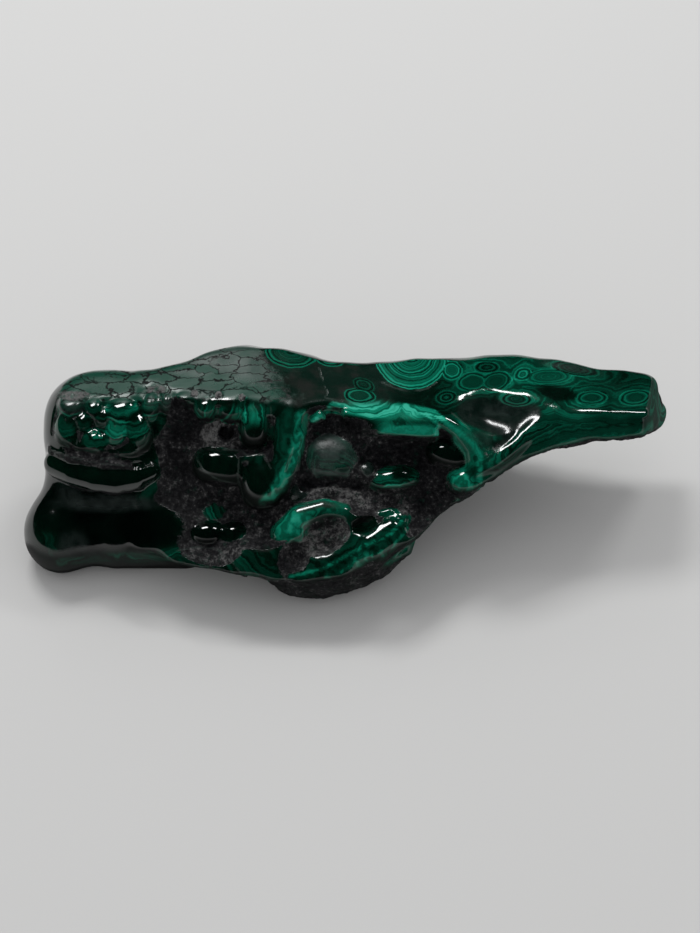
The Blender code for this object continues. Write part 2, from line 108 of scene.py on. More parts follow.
BODIES = (
    lump("left_lobe", (-69.8, 25.2, 17), (19.6, 17.8, 18.6), blend=3, square=2.5),
    lump("foot_knob", (-85, -4.7, 16), (10, 11.6, 11.5), blend=4),
    ridge("foot", [(-84, -4, 15, 9.5), (-68, -3.3, 15, 12), (-50, -1.5, 11.5, 14)], blend=5),
    ridge("heel_web", [(-84, 0, 14, 7), (-81, 12, 14, 8.5)], blend=5),
    ridge("web", [(-79.4, 6.5, 17.4, 7.6), (-60, 7, 18.5, 9)], blend=4),
    ridge("under_lobe", [(-77, 12.5, 5, 8.5), (-58, 13, 3, 14)], blend=7),
    lump("claw_lobe", (-4, -9.2, 20.5), (21.5, 13, 16), turn=17, blend=3, square=2.3),
)
RELIEF = (
    # the main valley, from behind the left lobe down and across to the lower right edge
    groove("valley", [(-49.5, 27.5, 42, 8), (-48.5, 20, 42, 12.5), (-46, 11, 42, 14.5),
                      (-38, 5, 42, 14), (-25, 2.5, 41, 11.5), (-12, 8, 38, 5.5), (-3, 8.5, 38, 5.5),
                      (6, 7, 38.5, 6.5), (17, 4.5, 40, 9.5), (29, 0, 41, 10)], blend=3),
    hollow("lower_terrace", (-43, -6, 48), (18, 13, 16.5), blend=3),
    groove("row_bed", [(-51, 28, 38, 5.5), (-42, 25.5, 37, 7), (-33, 24.5, 37, 7), (-26, 24, 36.5, 5.5)],
           blend=1.5),
    groove("bowl", [(-6, 24.5, 39.5, 9), (-6, 18, 41.5, 11.5), (-6.5, 13, 44.5, 12)], blend=2.5),
    groove("cave", [(6, 17.5, 39, 7.5), (16, 17, 39, 9.5), (27, 17.5, 39, 8.5), (32.5, 15.5, 38.5, 6)],
           blend=2),
    groove("side_pit", [(18, 9, 40, 9), (26, 8, 38, 8.5)], blend=2.5),

    # the left lobe with its bed of nodules, its lip and the foot under it
    groove("notch", [(-64, 46.2, 18, 2.6), (-63.5, 45, 24, 1.8), (-62.5, 42, 28.5, 0.6)], blend=1),
    hollow("nodule_bed", (-70, 25.4, 44), (16.4, 10, 11), blend=1.5),
    groove("bed_top", [(-80, 32, 40.2, 7.4), (-68, 32.6, 40.2, 7.6), (-57, 32.4, 40.2, 7.4)], blend=1),
    groove("bed_rim", [(-84, 31, 31.5, 1), (-85, 25, 31, 1.3), (-80.5, 19.6, 34, 1.4),
                       (-72, 17.4, 36.3, 1.8), (-62, 17.2, 36, 2), (-55, 19, 34, 2.4)], blend=1),
    groove("side_crease", [(-54.6, 33, 36, 1.4), (-55.5, 26, 35.5, 2.2), (-54.5, 19, 34, 2.8)],
           blend=1.5),
    ridge("jagged_rim", [(-85.5, 19.5, 28, 1.6), (-79, 17.2, 32.6, 1.5), (-70, 15.4, 34, 1.4),
                         (-62, 15, 34, 1.3), (-56, 16, 32.6, 1)], blend=0.8),
    ridge("lip", [(-84.4, 15.6, 26, 4), (-79, 13.2, 28.8, 4.3), (-73, 11.6, 30.4, 4.4),
                  (-67, 11, 31, 4.3), (-61.5, 11.8, 30.8, 3.9), (-57.4, 13.2, 30, 2.9)], blend=0.8),
    ridge("rough_crest", [(-60, 4.6, 26.6, 2), (-55, 1.4, 27.8, 2.4), (-50, -1.8, 28.6, 2.4),
                          (-47.4, -6, 27.6, 2)], blend=1.5),
    lump("nodule_1", (-65.2, 30.2, 30.2), (5.8, 5.2, 5.6), blend=0.5),
    lump("nodule_2", (-73.2, 31.2, 30), (3.3, 4.4, 5.4), blend=0.5),
    lump("nodule_3", (-79.8, 31.6, 29), (4.3, 4.6, 5.6), blend=0.5),
    lump("nodule_4", (-72.8, 21.8, 31.2), (4.4, 3.9, 5), blend=1.4),
    lump("nodule_5", (-66.8, 24.2, 31.4), (3.3, 4.4, 5), turn=-12, blend=1.4),
    lump("nodule_6", (-60.6, 24.6, 31), (3.7, 5.4, 5), turn=8, blend=1.4),
    lump("nodule_7", (-80.8, 24.8, 30.2), (3.9, 5.2, 5), turn=12, blend=1.4),
    lump("nodule_8", (-76.2, 27, 30.6), (2.7, 3.1, 4.6), blend=1.4),
    lump("nodule_9", (-57.2, 31.4, 29.6), (2.9, 4.8, 5), turn=-8, blend=0.5),
    lump("nodule_10", (-52.4, 33, 30), (2.4, 3.5, 4.6), blend=0.5),
    lump("nodule_11", (-70.7, 28, 31), (2.5, 2.9, 4.5), blend=1.4),
    lump("nodule_12", (-77, 20.4, 30), (2.6, 2, 4.4), blend=1.4),
    lump("nodule_13", (-63.4, 18.8, 31), (3.4, 1.6, 4.2), turn=6, blend=1.4),

    # the row of nodules under the top face and the green blocks and tongue beneath it
    lump("row_1", (-47, 34.6, 32.7), (2.7, 2.2, 3), blend=0.5),
    lump("row_2", (-41, 31.8, 32.6), (3.6, 4.2, 4.8), blend=0.5),
    lump("row_3", (-34, 30.8, 33), (3.8, 3.6, 4.6), blend=0.5),
    lump("row_4", (-27.2, 26.8, 32.2), (4.2, 6.8, 5.8), blend=0.5, square=2.4),
    lump("crust", (-36, 23.6, 29), (6.4, 5.2, 4.8), blend=2),
    hollow("hole", (-35.3, 24.4, 35), (2.2, 2.1, 8), blend=0.8),
    lump("inner_lobe", (-36.6, 14.8, 28.4), (8.7, 5.8, 8.4), turn=-8, blend=0.7, square=2.3),
    groove("tongue_bed", [(-18.4, 26, 42, 7), (-19.4, 12, 42, 7.5)], blend=1.5),
    ridge("tongue", [(-17.6, 29.4, 32.6, 4.4), (-17.4, 23, 33.2, 4.3), (-18.2, 16, 33.2, 4.1),
                     (-21.4, 9.6, 31.6, 3.9)], blend=1),
    groove("tongue_crease", [(-14.6, 27.5, 37.6, 0.9), (-15, 20, 37.4, 1.1), (-17.4, 13, 36.6, 1)],
           blend=0.8),
    lump("tongue_tip", (-25.4, 10.6, 29.6), (6.4, 8.4, 8.2), turn=6, blend=0.7, square=2.2),
    lump("tongue_side", (-13.6, 8.6, 27.4), (4.4, 6.4, 6.4), turn=-28, blend=0.8),

    # the pocket with its satin lobe, the ledge over it, and what stands in the cave
    lump("satin_lobe", (-5.2, 16.6, 28), (8.8, 7.4, 7.2), turn=-10, blend=1.4, square=2.3),
    groove("crevice", [(-13, 9.4, 34, 1.8), (-6, 8.6, 34.4, 2.6), (2, 8.8, 34.2, 2.4),
                       (7, 8, 33.6, 1.6)], blend=1),
    lump("bowl_bead", (-2.6, 14.8, 32.6), (3.0, 1.7, 3), blend=0.6),
    lump("bowl_foot", (4.8, 13.2, 29.6), (2.6, 3.2, 4), blend=0.8),
    lump("leaf", (12.4, 10.8, 29.6), (7.8, 4.2, 5.6), turn=6, blend=0.8),
    hollow("leaf_dimple", (14.6, 12, 37.4), (3.4, 1.6, 3), turn=6, blend=0.8),
    lump("cave_lobe", (28.2, 18, 29.6), (6.6, 4.4, 6), turn=-20, blend=0.8),
    lump("ledge", (15.6, 26, 31.4), (10.2, 3.6, 5.9), turn=-4, blend=0.6, square=3.6),
    ridge("ledge_end", [(-10, 28.2, 33.8, 1.4), (-7, 30, 34.8, 1.5), (0, 29.4, 35, 1.9),
                        (8, 27.6, 35, 2)], blend=0.8),
    groove("ledge_split", [(16, 30.4, 37.6, 0.9), (23, 28.8, 37.2, 1.1), (27.5, 25, 36.6, 1.3)],
           blend=0.6),
    ridge("band", [(17, 32, 34.6, 2.2), (25, 29.4, 34.8, 2.6), (31, 25, 34.4, 2.9),
                   (35, 19.8, 33.6, 2.9), (36.2, 14.5, 32, 3)], blend=1),
    lump("banded_lobe", (32.6, 10.4, 29.8), (5.2, 4.6, 6.2), turn=10, blend=0.7),
    ridge("band_foot", [(24.5, 4.2, 28.6, 1.7), (31, 6, 28.6, 1.8), (37, 10, 28.6, 1.8)], blend=1),

    # the claw: a ring-shaped rib curled round a pit, with ribs running under it
    ridge("halo", [(-15.5, 3.2, 31, 1.4), (-10.5, 6.9, 32.2, 1.3), (-4, 8, 32.4, 1.3),
                   (2, 6.4, 32, 1.4), (5.5, 2.6, 31.6, 1.6)], blend=0.8),
    ridge("arch", [(-20.6, -9.5, 30, 2.4), (-19, -4.4, 32.6, 3.6), (-14.2, 0, 33.6, 3.9),
                   (-7.5, 2.2, 33.8, 3.1), (-2, 1.2, 34, 2.9), (0.6, -2.6, 33.4, 1.9)], blend=1),
    ridge("claw", [(-15, -18, 26, 4), (-5, -13.5, 31.6, 4.8), (6, -8.4, 34.6, 5.2), (12, -4.2, 33, 4.8),
                   (13.6, -0.8, 32, 3)], blend=1),
    hollow("ring_pit", (-7.4, -5.2, 42.2), (8.8, 5.4, 10), turn=24, blend=3),
    hollow("lower_pit", (-15.8, -10.8, 41.6), (4.4, 5, 8.6), turn=10, blend=3),
    hollow("hook_pit", (4.2, -1.6, 39.4), (4.6, 2.3, 6.2), turn=24, blend=1),
    ridge("wavy_rim", [(2.2, 0.8, 32.6, 1.2), (5, -0.2, 33, 1.2), (8, 0.6, 33, 1.3),
                       (11.5, 1.6, 32.8, 1.2)], blend=0.8),
    ridge("flow_1", [(-12, -19.4, 24.5, 2.4), (-3, -17, 28.4, 2.4), (6, -12.8, 31.2, 2.4),
                     (13, -6.6, 32, 2.4)], blend=0.7),
    ridge("claw_rim", [(14.6, 1, 31, 2.2), (17.4, -3.6, 29.6, 2.3), (15.4, -9, 28, 2.6),
                       (8, -13.6, 27, 2.6)], blend=0.8),
    ridge("claw_root", [(-21, -11.5, 30.6, 1.5), (-21.8, -17.5, 26.5, 2)], blend=1),
    lump("dark_nodule_1", (-40.8, -4.6, 28), (6, 3.9, 5.4), blend=0.6),
    lump("dark_nodule_2", (-33.2, -4.9, 28.4), (4.6, 3.9, 5.4), blend=0.6),
    ridge("green_rib", [(-31.2, -6, 31.2, 2.0), (-31.6, -11, 29.6, 2.0), (-30.6, -15, 26, 2)],
          blend=0.8),
    ridge("lower_rim", [(-50, -9.5, 27.5, 1.2), (-43, -9, 28.6, 1.3), (-36.5, -10.8, 27.4, 1.4),
                        (-32.5, -14.5, 24.6, 1.2)], blend=1.2),

    # the neck: its shoulder ridge, the crease over it and the scooped place where it leaves the body
    groove("neck_scoop", [(35.5, 33, 37, 5.6), (42, 32.8, 36.6, 8.2), (49, 32.4, 35.6, 8),
                          (56, 32.8, 34, 4)], blend=2),
    groove("scoop_floor", [(36, 34, 37, 6.6), (38, 33.2, 37, 7.4), (46, 29.6, 37, 7.4)], blend=3),
    groove("crease", [(38, 20.4, 36.6, 1.2), (43, 20.6, 34.6, 1.6), (47.5, 23, 32.6, 1.4)], blend=2),
    ridge("shoulder", [(35, 13.2, 33.8, 2), (41, 16, 33.2, 2), (47, 20.4, 31.4, 2), (53.5, 26, 28.8, 2),
                       (61, 30, 26.8, 1.8), (86, 30.8, 26.4, 1.5)], blend=1.5),
)

# what each form shows: how far it is dull matrix instead of polished stone, how light its green is, and how far its
# skin is satin, which is rougher and painted greyish as a sheen
SHOWS = {
    "left_lobe": (0, 0.16), "foot_knob": (0, 0.05), "foot": (0, 0.0), "heel_web": (0, 0.0), "web": (0, 0.0),
    "under_lobe": (0, 0.3), "claw_lobe": (0.35, 0.5), "valley": (1, 0.32), "lower_terrace": (1, 0.35),
    # painted shade: the cave is given nearly the darkest matrix for the shade deep under the ledge
    "row_bed": (1, 0.2), "bowl": (0.95, 0.12), "cave": (0.95, 0.05), "side_pit": (1, 0.12), "notch": (0, 0.3),
    "nodule_bed": (0.95, 0.05), "bed_rim": (1, 0.15), "side_crease": (1, 0.1), "jagged_rim": (0.8, 0.26),
    "lip": (0, 0.14), "rough_crest": (0.6, 0.2), "nodule_1": (0, 0.8), "nodule_2": (0, 0.45),
    "nodule_3": (0, 0.62), "nodule_4": (0, 0.5), "nodule_5": (0, 0.6), "nodule_6": (0, 0.42),
    "nodule_7": (0, 0.36), "nodule_8": (0, 0.34), "nodule_9": (0, 0.62), "nodule_10": (0, 0.5),
    "nodule_11": (0, 0.34), "nodule_12": (0, 0.34), "nodule_13": (0, 0.32), "row_1": (0.5, 0.6),
    "row_2": (0, 0.5), "row_3": (0, 0.6), "row_4": (0, 0.45), "crust": (1, 0.75), "hole": (1, 0.0),
    "inner_lobe": (0, 0.15), "tongue_bed": (0.8, 0.2), "tongue": (0, 0.42), "tongue_crease": (0, 0.1),
    "tongue_tip": (0, 0.15), "tongue_side": (0, 0.14, 0.5), "satin_lobe": (0.3, 0.55, 0.6),
    # painted shade: the crevice is given the darkest matrix for the black shade in it
    "crevice": (1, 0.0), "bowl_bead": (0, 0.45), "bowl_foot": (0, 0.2, 0.5), "leaf": (0, 0.55),
    "leaf_dimple": (0, 0.2), "cave_lobe": (0, 0.06), "ledge": (0, 1.0), "ledge_end": (0, 0.6),
    "ledge_split": (0, 0.3), "band": (0, 0.72), "banded_lobe": (0, 0.9), "band_foot": (0, 0.6),
    "halo": (1, 0.6), "arch": (0, 0.72), "claw": (0, 0.4), "ring_pit": (0.7, 0.55), "lower_pit": (0.9, 0.3),
    "hook_pit": (0, 0.2), "wavy_rim": (0, 0.4), "flow_1": (0.25, 0.6), "claw_rim": (0.3, 0.5),
    "claw_root": (0, 0.9), "dark_nodule_1": (0, 0.08), "dark_nodule_2": (0, 0.08), "green_rib": (0, 0.8),
    "lower_rim": (0.4, 0.4), "neck_scoop": (0, 0.14, 0.28), "scoop_floor": (0, 0.12, 0.28),
    "bed_top": (0.6, 0.1), "crease": (0.4, 0.1, 0.4), "shoulder": (0, 0.5),
}

# how light the green of the uncarved trunk and of the ground top is along the stone: x, light
TRUNK_LIGHT = ((-60, 0.3), (20, 0.35), (38, 0.5), (60, 0.5))
TOP_LIGHT = ((-60, 0.3), (-30, 0.2), (-10, 0.14), (24, 0.18), (36, 0.44), (64, 0.42), (74, 0.3), (90, 0.34))

# the crazed skin lies on the top between two lines across the face, and its fresh green cells reach up from the lower
# one: x, y, and then x, mm
CRAZED_FROM = ((-86, 34.6), (-60, 34.6), (-52, 36), (-28, 35.4), (-12, 31.5), (0, 33))
CRAZED_TO = ((-86, 60), (-32, 58), (-22, 45), (-12, 36), (0, 33))
FRESH_REACH = ((-60, 13), (-48, 13), (-28, 7))

# patches of other colour on the face, a few of them painted light and shade: x, y, half sizes, turn in degrees,
# matrix, light, strength
COLOUR_LIGHT_AND_SHADE_PATCHES = (
    (-49, 24, 4.5, 13, 0, 1.0, 0.0, 0.9), (-48.5, 37.8, 4, 2, 0, 0.1, 0.75, 0.9),
    (-42.5, 37.6, 3, 1.6, 0, 0.0, 0.7, 0.9), (-39, 1.8, 4.5, 3, 10, 0.35, 0.45, 1),
    # painted shade: the dark matrix patch at x 2, y 27 stands for the shade under the overhang at the ledge's left end
    (-53, 5, 4.5, 4, 0, 1, 0.15, 0.8), (2, 27, 5, 3, 0, 0.8, 0.0, 0.9), (-16, -3, 5.5, 4.5, 40, 0.0, 1.0, 0.7),
    (24, 7, 6, 6, 0, 1.0, 0.0, 0.9), (-88, -8, 5, 5, 0, 0.0, 0.35, 0.6), (-61, -11, 13, 3, 0, 0.1, 0.5, 0.7),
    (-62, -3, 17, 8.5, 0, 0, 0, 1), (-79, 35, 7, 2.2, 0, 0.62, 0.5, 0.9),
    (-55.5, 36.8, 4.5, 1.8, 0, 0.7, 0.4, 0.9), (-37.6, 35, 1.3, 1.4, 0, 0.9, 0.3, 0.9),
    (-30.8, 34.4, 1.3, 1.4, 0, 0.9, 0.3, 0.9), (-44.4, 35.6, 1.4, 1.4, 0, 0.9, 0.3, 0.9),
    # painted light and shade: row_4 is painted light green on its upper half and near black on its lower half
    (40, 18, 4.5, 3.5, 0, 0.45, 0.6, 0.8), (-27, 29.8, 3.8, 3.2, 0, 0.0, 0.8, 0.9),
    (-27, 23, 4, 3.4, 0, 0.0, 0.05, 0.9), (-18.5, 44, 7, 2.6, 0, 0.4, 0.3, 0.7),
    (70, 34, 4.5, 2.2, 0, 0, 0.85, 0.7), (82, 35, 4, 2, 0, 0, 0.8, 0.7), (78, 29, 10, 4, 0, 0, 0.35, 0.6),
    (12, 9, 3.6, 1.5, 0, 0, 1.0, 0.9), (15, 13, 3.6, 1.8, 0, 0, 0.1, 0.8), (3, -12, 5, 2, 30, 0, 0.9, 0.7),
    (-6, -17, 3.4, 1.4, 30, 0, 0.9, 0.7), (10, -11.5, 1.6, 2.6, 0, 0, 0.85, 0.6),
    (9, 30.6, 15, 3.4, -6, 0, 0.86, 1), (2, -17, 8, 2.4, 20, 0.9, 0.5, 0.8),
    (-18, -14, 3, 5, 20, 0.9, 0.1, 0.8), (16, 3, 3, 3, 0, 1, 0.5, 0.7), (60, 36, 7, 2.4, -10, 0.25, 0.06, 0.8),
    (20, 35.5, 9, 3, -8, 0.35, 0.12, 0.6), (-70, 26, 5, 4, 0, 0, 0.3, 0.2),
)

# painted sheen: soft greyish places where the polish turns satin: x, y, half sizes, turn in degrees, strength
SHEEN_PATCHES = (
    (-80.5, 6.5, 5, 3.4, -30, 0.35), (-80, -8, 4.5, 4.5, 30, 0.35), (-70, -11.5, 12, 2.2, 0, 0.3),
    (-6, 21, 7, 6, -30, 1.0), (3, 17, 5, 7, 0, 0.5), (-70, 4.2, 15, 2.6, 0, 0.7), (44, 31, 8, 3, 0, 0.5),
    (36, 22, 6, 3, 0, 0.35), (64, 44, 10, 1.6, -12, 0.4), (-80, 32, 5, 3, 0, 0.4), (-54, 33, 6, 3, 0, 0.4),
    (-43, 35.6, 6, 2, 0, 0.4), (-14, 12, 4, 5, -20, 0.5),
)

# bright streaks that follow a line on the face: half width, light, strength, then x, y points
STREAKS = (
    (1.7, 0.85, 1, ((-13.6, 29), (-14.2, 24), (-15, 20), (-17, 15), (-21, 8), (-24, 4.4))),
    (0.7, 0.9, 1, ((-10.5, 27.6), (-7, 30), (-5, 32.6), (0, 31.2), (6, 29.4))),
    (0.8, 0.95, 1, ((16, 32), (24, 30), (30, 25), (35, 21), (37, 18), (37, 9))),
    (0.5, 0.9, 0.9, ((20, 30.6), (25, 27), (25.2, 25.4), (22, 24.2))),
    (0.5, 0.8, 0.9, ((-17, -16.5), (-8, -14.4), (0, -10), (6, -6.6), (11, -5), (14.6, -1))),
    (0.4, 0.8, 0.8, ((-14, -19), (-5, -16.6), (3, -12), (12, -8), (16.4, -3))),
    (1.2, 0.36, 0.8, ((-84, -13), (-72, -12), (-60, -11.4), (-50, -9.4))),
)

# pale lines on the lobes' rims, partly hair lines and partly painted highlights and reflections: x, y points
HAIRLINES_AND_GLINTS = (
    ((-44, 17.4), (-41.6, 13.4), (-37, 10.6), (-32, 9.8)),
    ((-31.6, 17), (-32, 11), (-30.6, 6), (-27, 2.8), (-22, 3.2)),
    ((-36, 19.8), (-31, 19.2), (-29, 17.8), (-25, 18.4), (-23.4, 16), (-22.4, 14)),
    ((-84, 32), (-85.2, 26), (-80, 19.8)), ((-78.6, 28.8), (-77, 25), (-78, 21)),
    ((-58.4, 29), (-57, 25), (-58.4, 21), (-62, 18.4), (-71, 17)),
    ((-73, 26), (-70, 26.6), (-68.6, 28.6), (-66, 27.4)),
    ((-86, 19.4), (-80, 17.6), (-74, 16), (-70, 15.4), (-62, 14.8)),
    ((-50, -9.5), (-44, -8.4), (-38, -8.8), (-34, -12), (-31, -15.6)), ((-22.6, 32), (-22.2, 28), (-22.8, 24)),
    ((-9, 43), (-8, 40), (-6.6, 36), (-7, 34.2), (-2, 33.4)),
    ((9, 39), (12, 37.6), (17, 36.2), (22, 37), (25, 39)), ((1, 16.4), (3.4, 14), (4.6, 12), (6.6, 12.4)),
    ((-86, 34), (-84, 36), (-78, 37.4)), ((29, 30), (32, 27.6), (34, 25.4)),
)

# the lines and centres that the bands grew round: reach, then x, y, z points
GROWTH = (
    (3, ((30, 24, 6), (47, 26, 6), (60, 32, 6), (92, 36, 6))),
    (0, ((30, 2, 26), (40, 8, 26), (48, 12, 25), (60, 18, 23), (75, 20.5, 22), (92, 21, 22))),
    (2, ((-18, -14, 20), (-5, -12, 24), (6, -7, 26), (12, -2, 27))),
    (2, ((-20, -8, 24), (-13, 0, 26), (-6, 2, 26), (0, 0, 26))),
    (2, ((20, 29, 28), (30, 25, 28), (35, 18, 26), (36, 10, 24))),
    (2, ((-6, 28, 27), (8, 25, 27), (22, 25, 27))),
    (2, ((-17, 29, 26), (-20, 18, 26), (-25, 8, 24))),
    (2, ((-84, 14, 22), (-70, 11, 24), (-58, 12, 24))),
    (3, ((-85, -5, 8), (-60, -3, 8))),
    (3, ((-70, 28, 10), (-66, 28, 10))),
)
SCATTERED = 26

# the eyes: ring systems cut across by the ground top, each x, y, its reach along x and up the face, its turn in
# degrees, how light it is and how far it is ringed right to its middle
EYES = (
    (18, 47.5, 11, 10.4, 0, 0.56, 1.0), (29.6, 42.6, 3.0, 3.0, 0, 0.5, 0.2),
    (35.4, 39.2, 4.8, 2.9, 10, 0.4, 0), (42.2, 39.4, 4.6, 2.9, 15, 0.38, 0), (40, 43.6, 3.6, 1.7, 0, 0.3, 0.2),
    (27.6, 34.6, 3.1, 1.9, 10, 0.3, 0.6), (50.4, 41.6, 2.6, 1.8, 20, 0.5, 0.4),
    (58, 41, 6.8, 2.2, 4, 0.45, 0.5), (66, 43.4, 7, 2, -10, 0.3, 0.2), (4, 38.2, 3.4, 1.9, -25, 0.3, 0),
    (2.8, 35, 4.6, 2.2, -5, 0.42, 0), (-17, 48.6, 8, 5.4, -8, 0.4, 0.8), (-5.5, 47, 5, 3.4, -8, 0.4, 0.8),
    (1.5, 46.8, 5, 2.6, 0, 0.4, 0.8), (48, 34.2, 5, 2.2, 0, 0.4, 0.8), (70, 34.6, 4.8, 2, 4, 0.4, 0.2),
    (83, 34.8, 5, 2.3, 10, 0.4, 0.2),
)


def smooth_min(a, b, width):
    """The lesser of two distances, rounded over where they are within width of each other."""
    nearness = np.maximum(width - np.abs(a - b), 0) / width
    return np.minimum(a, b) - nearness * nearness * width / 4


def stands(points):
    """Depth from the front and level over the base of layout points, as the stone stands."""
    y, z = points[:, 1], points[:, 2]
    return y * math.cos(LEAN) - z * math.sin(LEAN), y * math.sin(LEAN) + z * math.cos(LEAN)


def eased(x, column):
    """One column of STATIONS, drawn smoothly through its values and read at x."""
    table = np.array(STATIONS, float)
    at, value = table[:, 0], table[:, column]
    slope = np.gradient(value, at)
    x = np.clip(x, at[0], at[-1])
    i = np.clip(np.searchsorted(at, x) - 1, 0, len(at) - 2)
    span = at[i + 1] - at[i]
    t = (x - at[i]) / span
    return (
        value[i] * (1 + 2 * t) * (1 - t) ** 2
        + value[i + 1] * t * t * (3 - 2 * t)
        + slope[i] * span * t * (1 - t) ** 2
        + slope[i + 1] * span * t * t * (t - 1)
    )


def ripple(points):
    """The slight waves that polishing by hand leaves in every face."""
    x, y, z = points.T
    waves = np.zeros(len(points))
    for height, length, turn, start in RIPPLES:
        u = (x * math.cos(turn) + (y + z) * math.sin(turn)) / length
        v = (y * math.cos(turn) - z - x * math.sin(turn)) / length
        waves += height * np.sin(2 * math.pi * u / 1.7 + start) * np.sin(2 * math.pi * v / 2.1 + 2 * start)
    return waves


def trunk(points):
    """Distance from the trunk: its section's six sides and its two ends, met with rounded edges."""
    x, y, z = points.T
    depth, level = stands(points)
    upper, lower, face, top, under, back = (eased(x, column) for column in range(1, 7))
    end = (x - RIGHT_END) * math.cos(END_SLANT) + (z - END_HEIGHT) * math.sin(END_SLANT)
    below = (lower + UNDERCUT * (face - z) - y) / math.hypot(1, UNDERCUT)
    above, beneath = level - top - TOP_EDGE, under - BASE_CUT - level
    planes = np.stack([y - upper, below, z - face, above, beneath, depth - back, LEFT_END - x, end])
    most = planes.max(axis=0)
    return most + EDGE * np.log(np.exp((planes - most) / EDGE).sum(axis=0)) + ripple(points)


def ellipsoid(points, form):
    """Distance from a lump or a hollow."""
    c, s = math.cos(math.radians(form["turn"])), math.sin(math.radians(form["turn"]))
    q = points - np.array(form["centre"], float)
    q = np.stack([c * q[:, 0] + s * q[:, 1], -s * q[:, 0] + c * q[:, 1], q[:, 2]], axis=1)
    radii = np.array(form["radii"], float)
    power = form["square"]
    u = np.abs(q / radii) + 1e-9
    size = (u ** power).sum(axis=1) ** (1 / power)
    slope = np.linalg.norm(size[:, None] ** (1 - power) * u ** (power - 1) / radii, axis=1)
    return (size - 1) / slope


def rod(points, form):
    """Distance from a ridge or a groove."""
    path = np.array(form["points"], float)
    best = np.full(len(points), 1e9)
    for a, b in zip(path, path[1:]):
        run = b[:3] - a[:3]
        t = np.clip((points - a[:3]) @ run / (run @ run), 0, 1)
        away = np.linalg.norm(points - a[:3] - t[:, None] * run, axis=1)
        best = np.minimum(best, away - a[3] - t * (b[3] - a[3]))
    return best


def reach(form):
    """Centre and radius of a sphere that holds all that a form can change."""
    if "points" in form:
        path = np.array(form["points"], float)
        low, high = path[:, :3].min(axis=0), path[:, :3].max(axis=0)
        return (low + high) / 2, np.linalg.norm(high - low) / 2 + path[:, 3].max() + form["blend"] + 2
    return np.array(form["centre"], float), max(form["radii"]) * 1.25 + form["blend"] + 2


def field(points, lift=0.0):
    """Signed distance in mm from the stone's surface, below zero inside.

    While the relief is being carved, its cuts stand lift mm out of the face and its bodies lie as deep
    in it.
    """
    value = trunk(points)
    for form in BODIES + RELIEF:
        cut = form["kind"] in ("hollow", "groove")
        offset = 0 if form in BODIES else lift if cut else -lift
        moved = points - (0, 0, offset)
        centre, radius = reach(form)
        near = np.flatnonzero(((moved - centre) ** 2).sum(axis=1) < radius ** 2)
        distance = (rod if "points" in form else ellipsoid)(moved[near], form)
        if cut:
            value[near] = -smooth_min(-value[near], distance, form["blend"])
        else:
            value[near] = smooth_min(value[near], distance, form["blend"])
    depth, level = stands(points)
    top = eased(points[:, 0], 4) - TOP_FALL * depth - level
    edge = np.interp(points[:, 0], SCOOP_SPAN, (TOP_EDGE, SCOOP_EDGE, SCOOP_EDGE, TOP_EDGE))
    return -smooth_min(-value, top, edge)


def relaxed(points, edges):
    """Points moved half way to the mean of their neighbours."""
    total = np.zeros_like(points)
    count = np.bincount(edges.ravel(), minlength=len(points))[:, None]
    for near, far in (edges.T, edges.T[::-1]):
        for axis in range(3):
            total[:, axis] += np.bincount(near, points[far, axis], len(points))
    return (points + total / np.maximum(count, 1)) / 2


def settle(mesh, rounds, lift=0.0):
    """Moves a mesh's vertices, in mm, onto the stone's surface, evening them out on the way."""
    points = np.empty(len(mesh.vertices) * 3, np.float32)
    mesh.vertices.foreach_get("co", points)
    points = points.reshape(-1, 3).astype(float)
    edges = np.empty(len(mesh.edges) * 2, np.int32)
    mesh.edges.foreach_get("vertices", edges)
    edges = edges.reshape(-1, 2)
    step = 0.05
    longest = 1.5
    for turn in range(rounds):
        if turn < rounds - 1:
            points = relaxed(points, edges)
        value = field(points, lift)
        slope = [field(points + axis, lift) - field(points - axis, lift) for axis in np.eye(3) * step]
        slope = np.stack(slope, axis=1) / (2 * step)
        move = -(value / np.maximum((slope ** 2).sum(axis=1), 0.5))[:, None] * slope
        length = np.linalg.norm(move, axis=1)[:, None]
        points += move * np.minimum(1, longest / np.maximum(length, 1e-9))
    mesh.vertices.foreach_set("co", points.astype(np.float32).ravel())
    mesh.update()


def blank_mesh():
    """The stone before carving: the trunk as a lofted bar, with balls for the bodies."""
    bm = bmesh.new()
    rings = []
    for x, upper, lower, face, _top, under, _back in STATIONS:
        middle = (upper + lower) / 2
        low = (under - middle * math.sin(LEAN)) / math.cos(LEAN)
        section = (
            Matrix.Translation((x, middle, (face + low) / 2))
            @ Matrix.Diagonal((1, (upper - lower) / 2, (face - low) / 2, 1))
            @ Matrix.Rotation(math.radians(90), 4, "Y")
        )
        made = bmesh.ops.create_circle(bm, segments=32, radius=1, matrix=section)
        rings.append(list({edge for vert in made["verts"] for edge in vert.link_edges}))
    for ring, following in zip(rings, rings[1:]):
        bmesh.ops.bridge_loops(bm, edges=ring + following)
    for ring in (rings[0], rings[-1]):
        bmesh.ops.contextual_create(bm, geom=ring)
    for form in BODIES:
        if form["kind"] == "lump":
            place = Matrix.Translation(form["centre"]) @ Matrix.Rotation(math.radians(form["turn"]), 4, "Z")
            place = place @ Matrix.Diagonal((*form["radii"], 1))
            bmesh.ops.create_icosphere(bm, subdivisions=4, radius=1, matrix=place)
            continue
        path = np.array(form["points"], float)
        for a, b in zip(path, path[1:]):
            for t in np.linspace(0, 1, 6):
                *spot, radius = a + t * (b - a)
                place = Matrix.Translation(spot)
                bmesh.ops.create_icosphere(bm, subdivisions=3, radius=radius, matrix=place)
    bmesh.ops.recalc_face_normals(bm, faces=bm.faces)
    mesh = bpy.data.meshes.new(NAME)
    bm.to_mesh(mesh)
    bm.free()
    return mesh


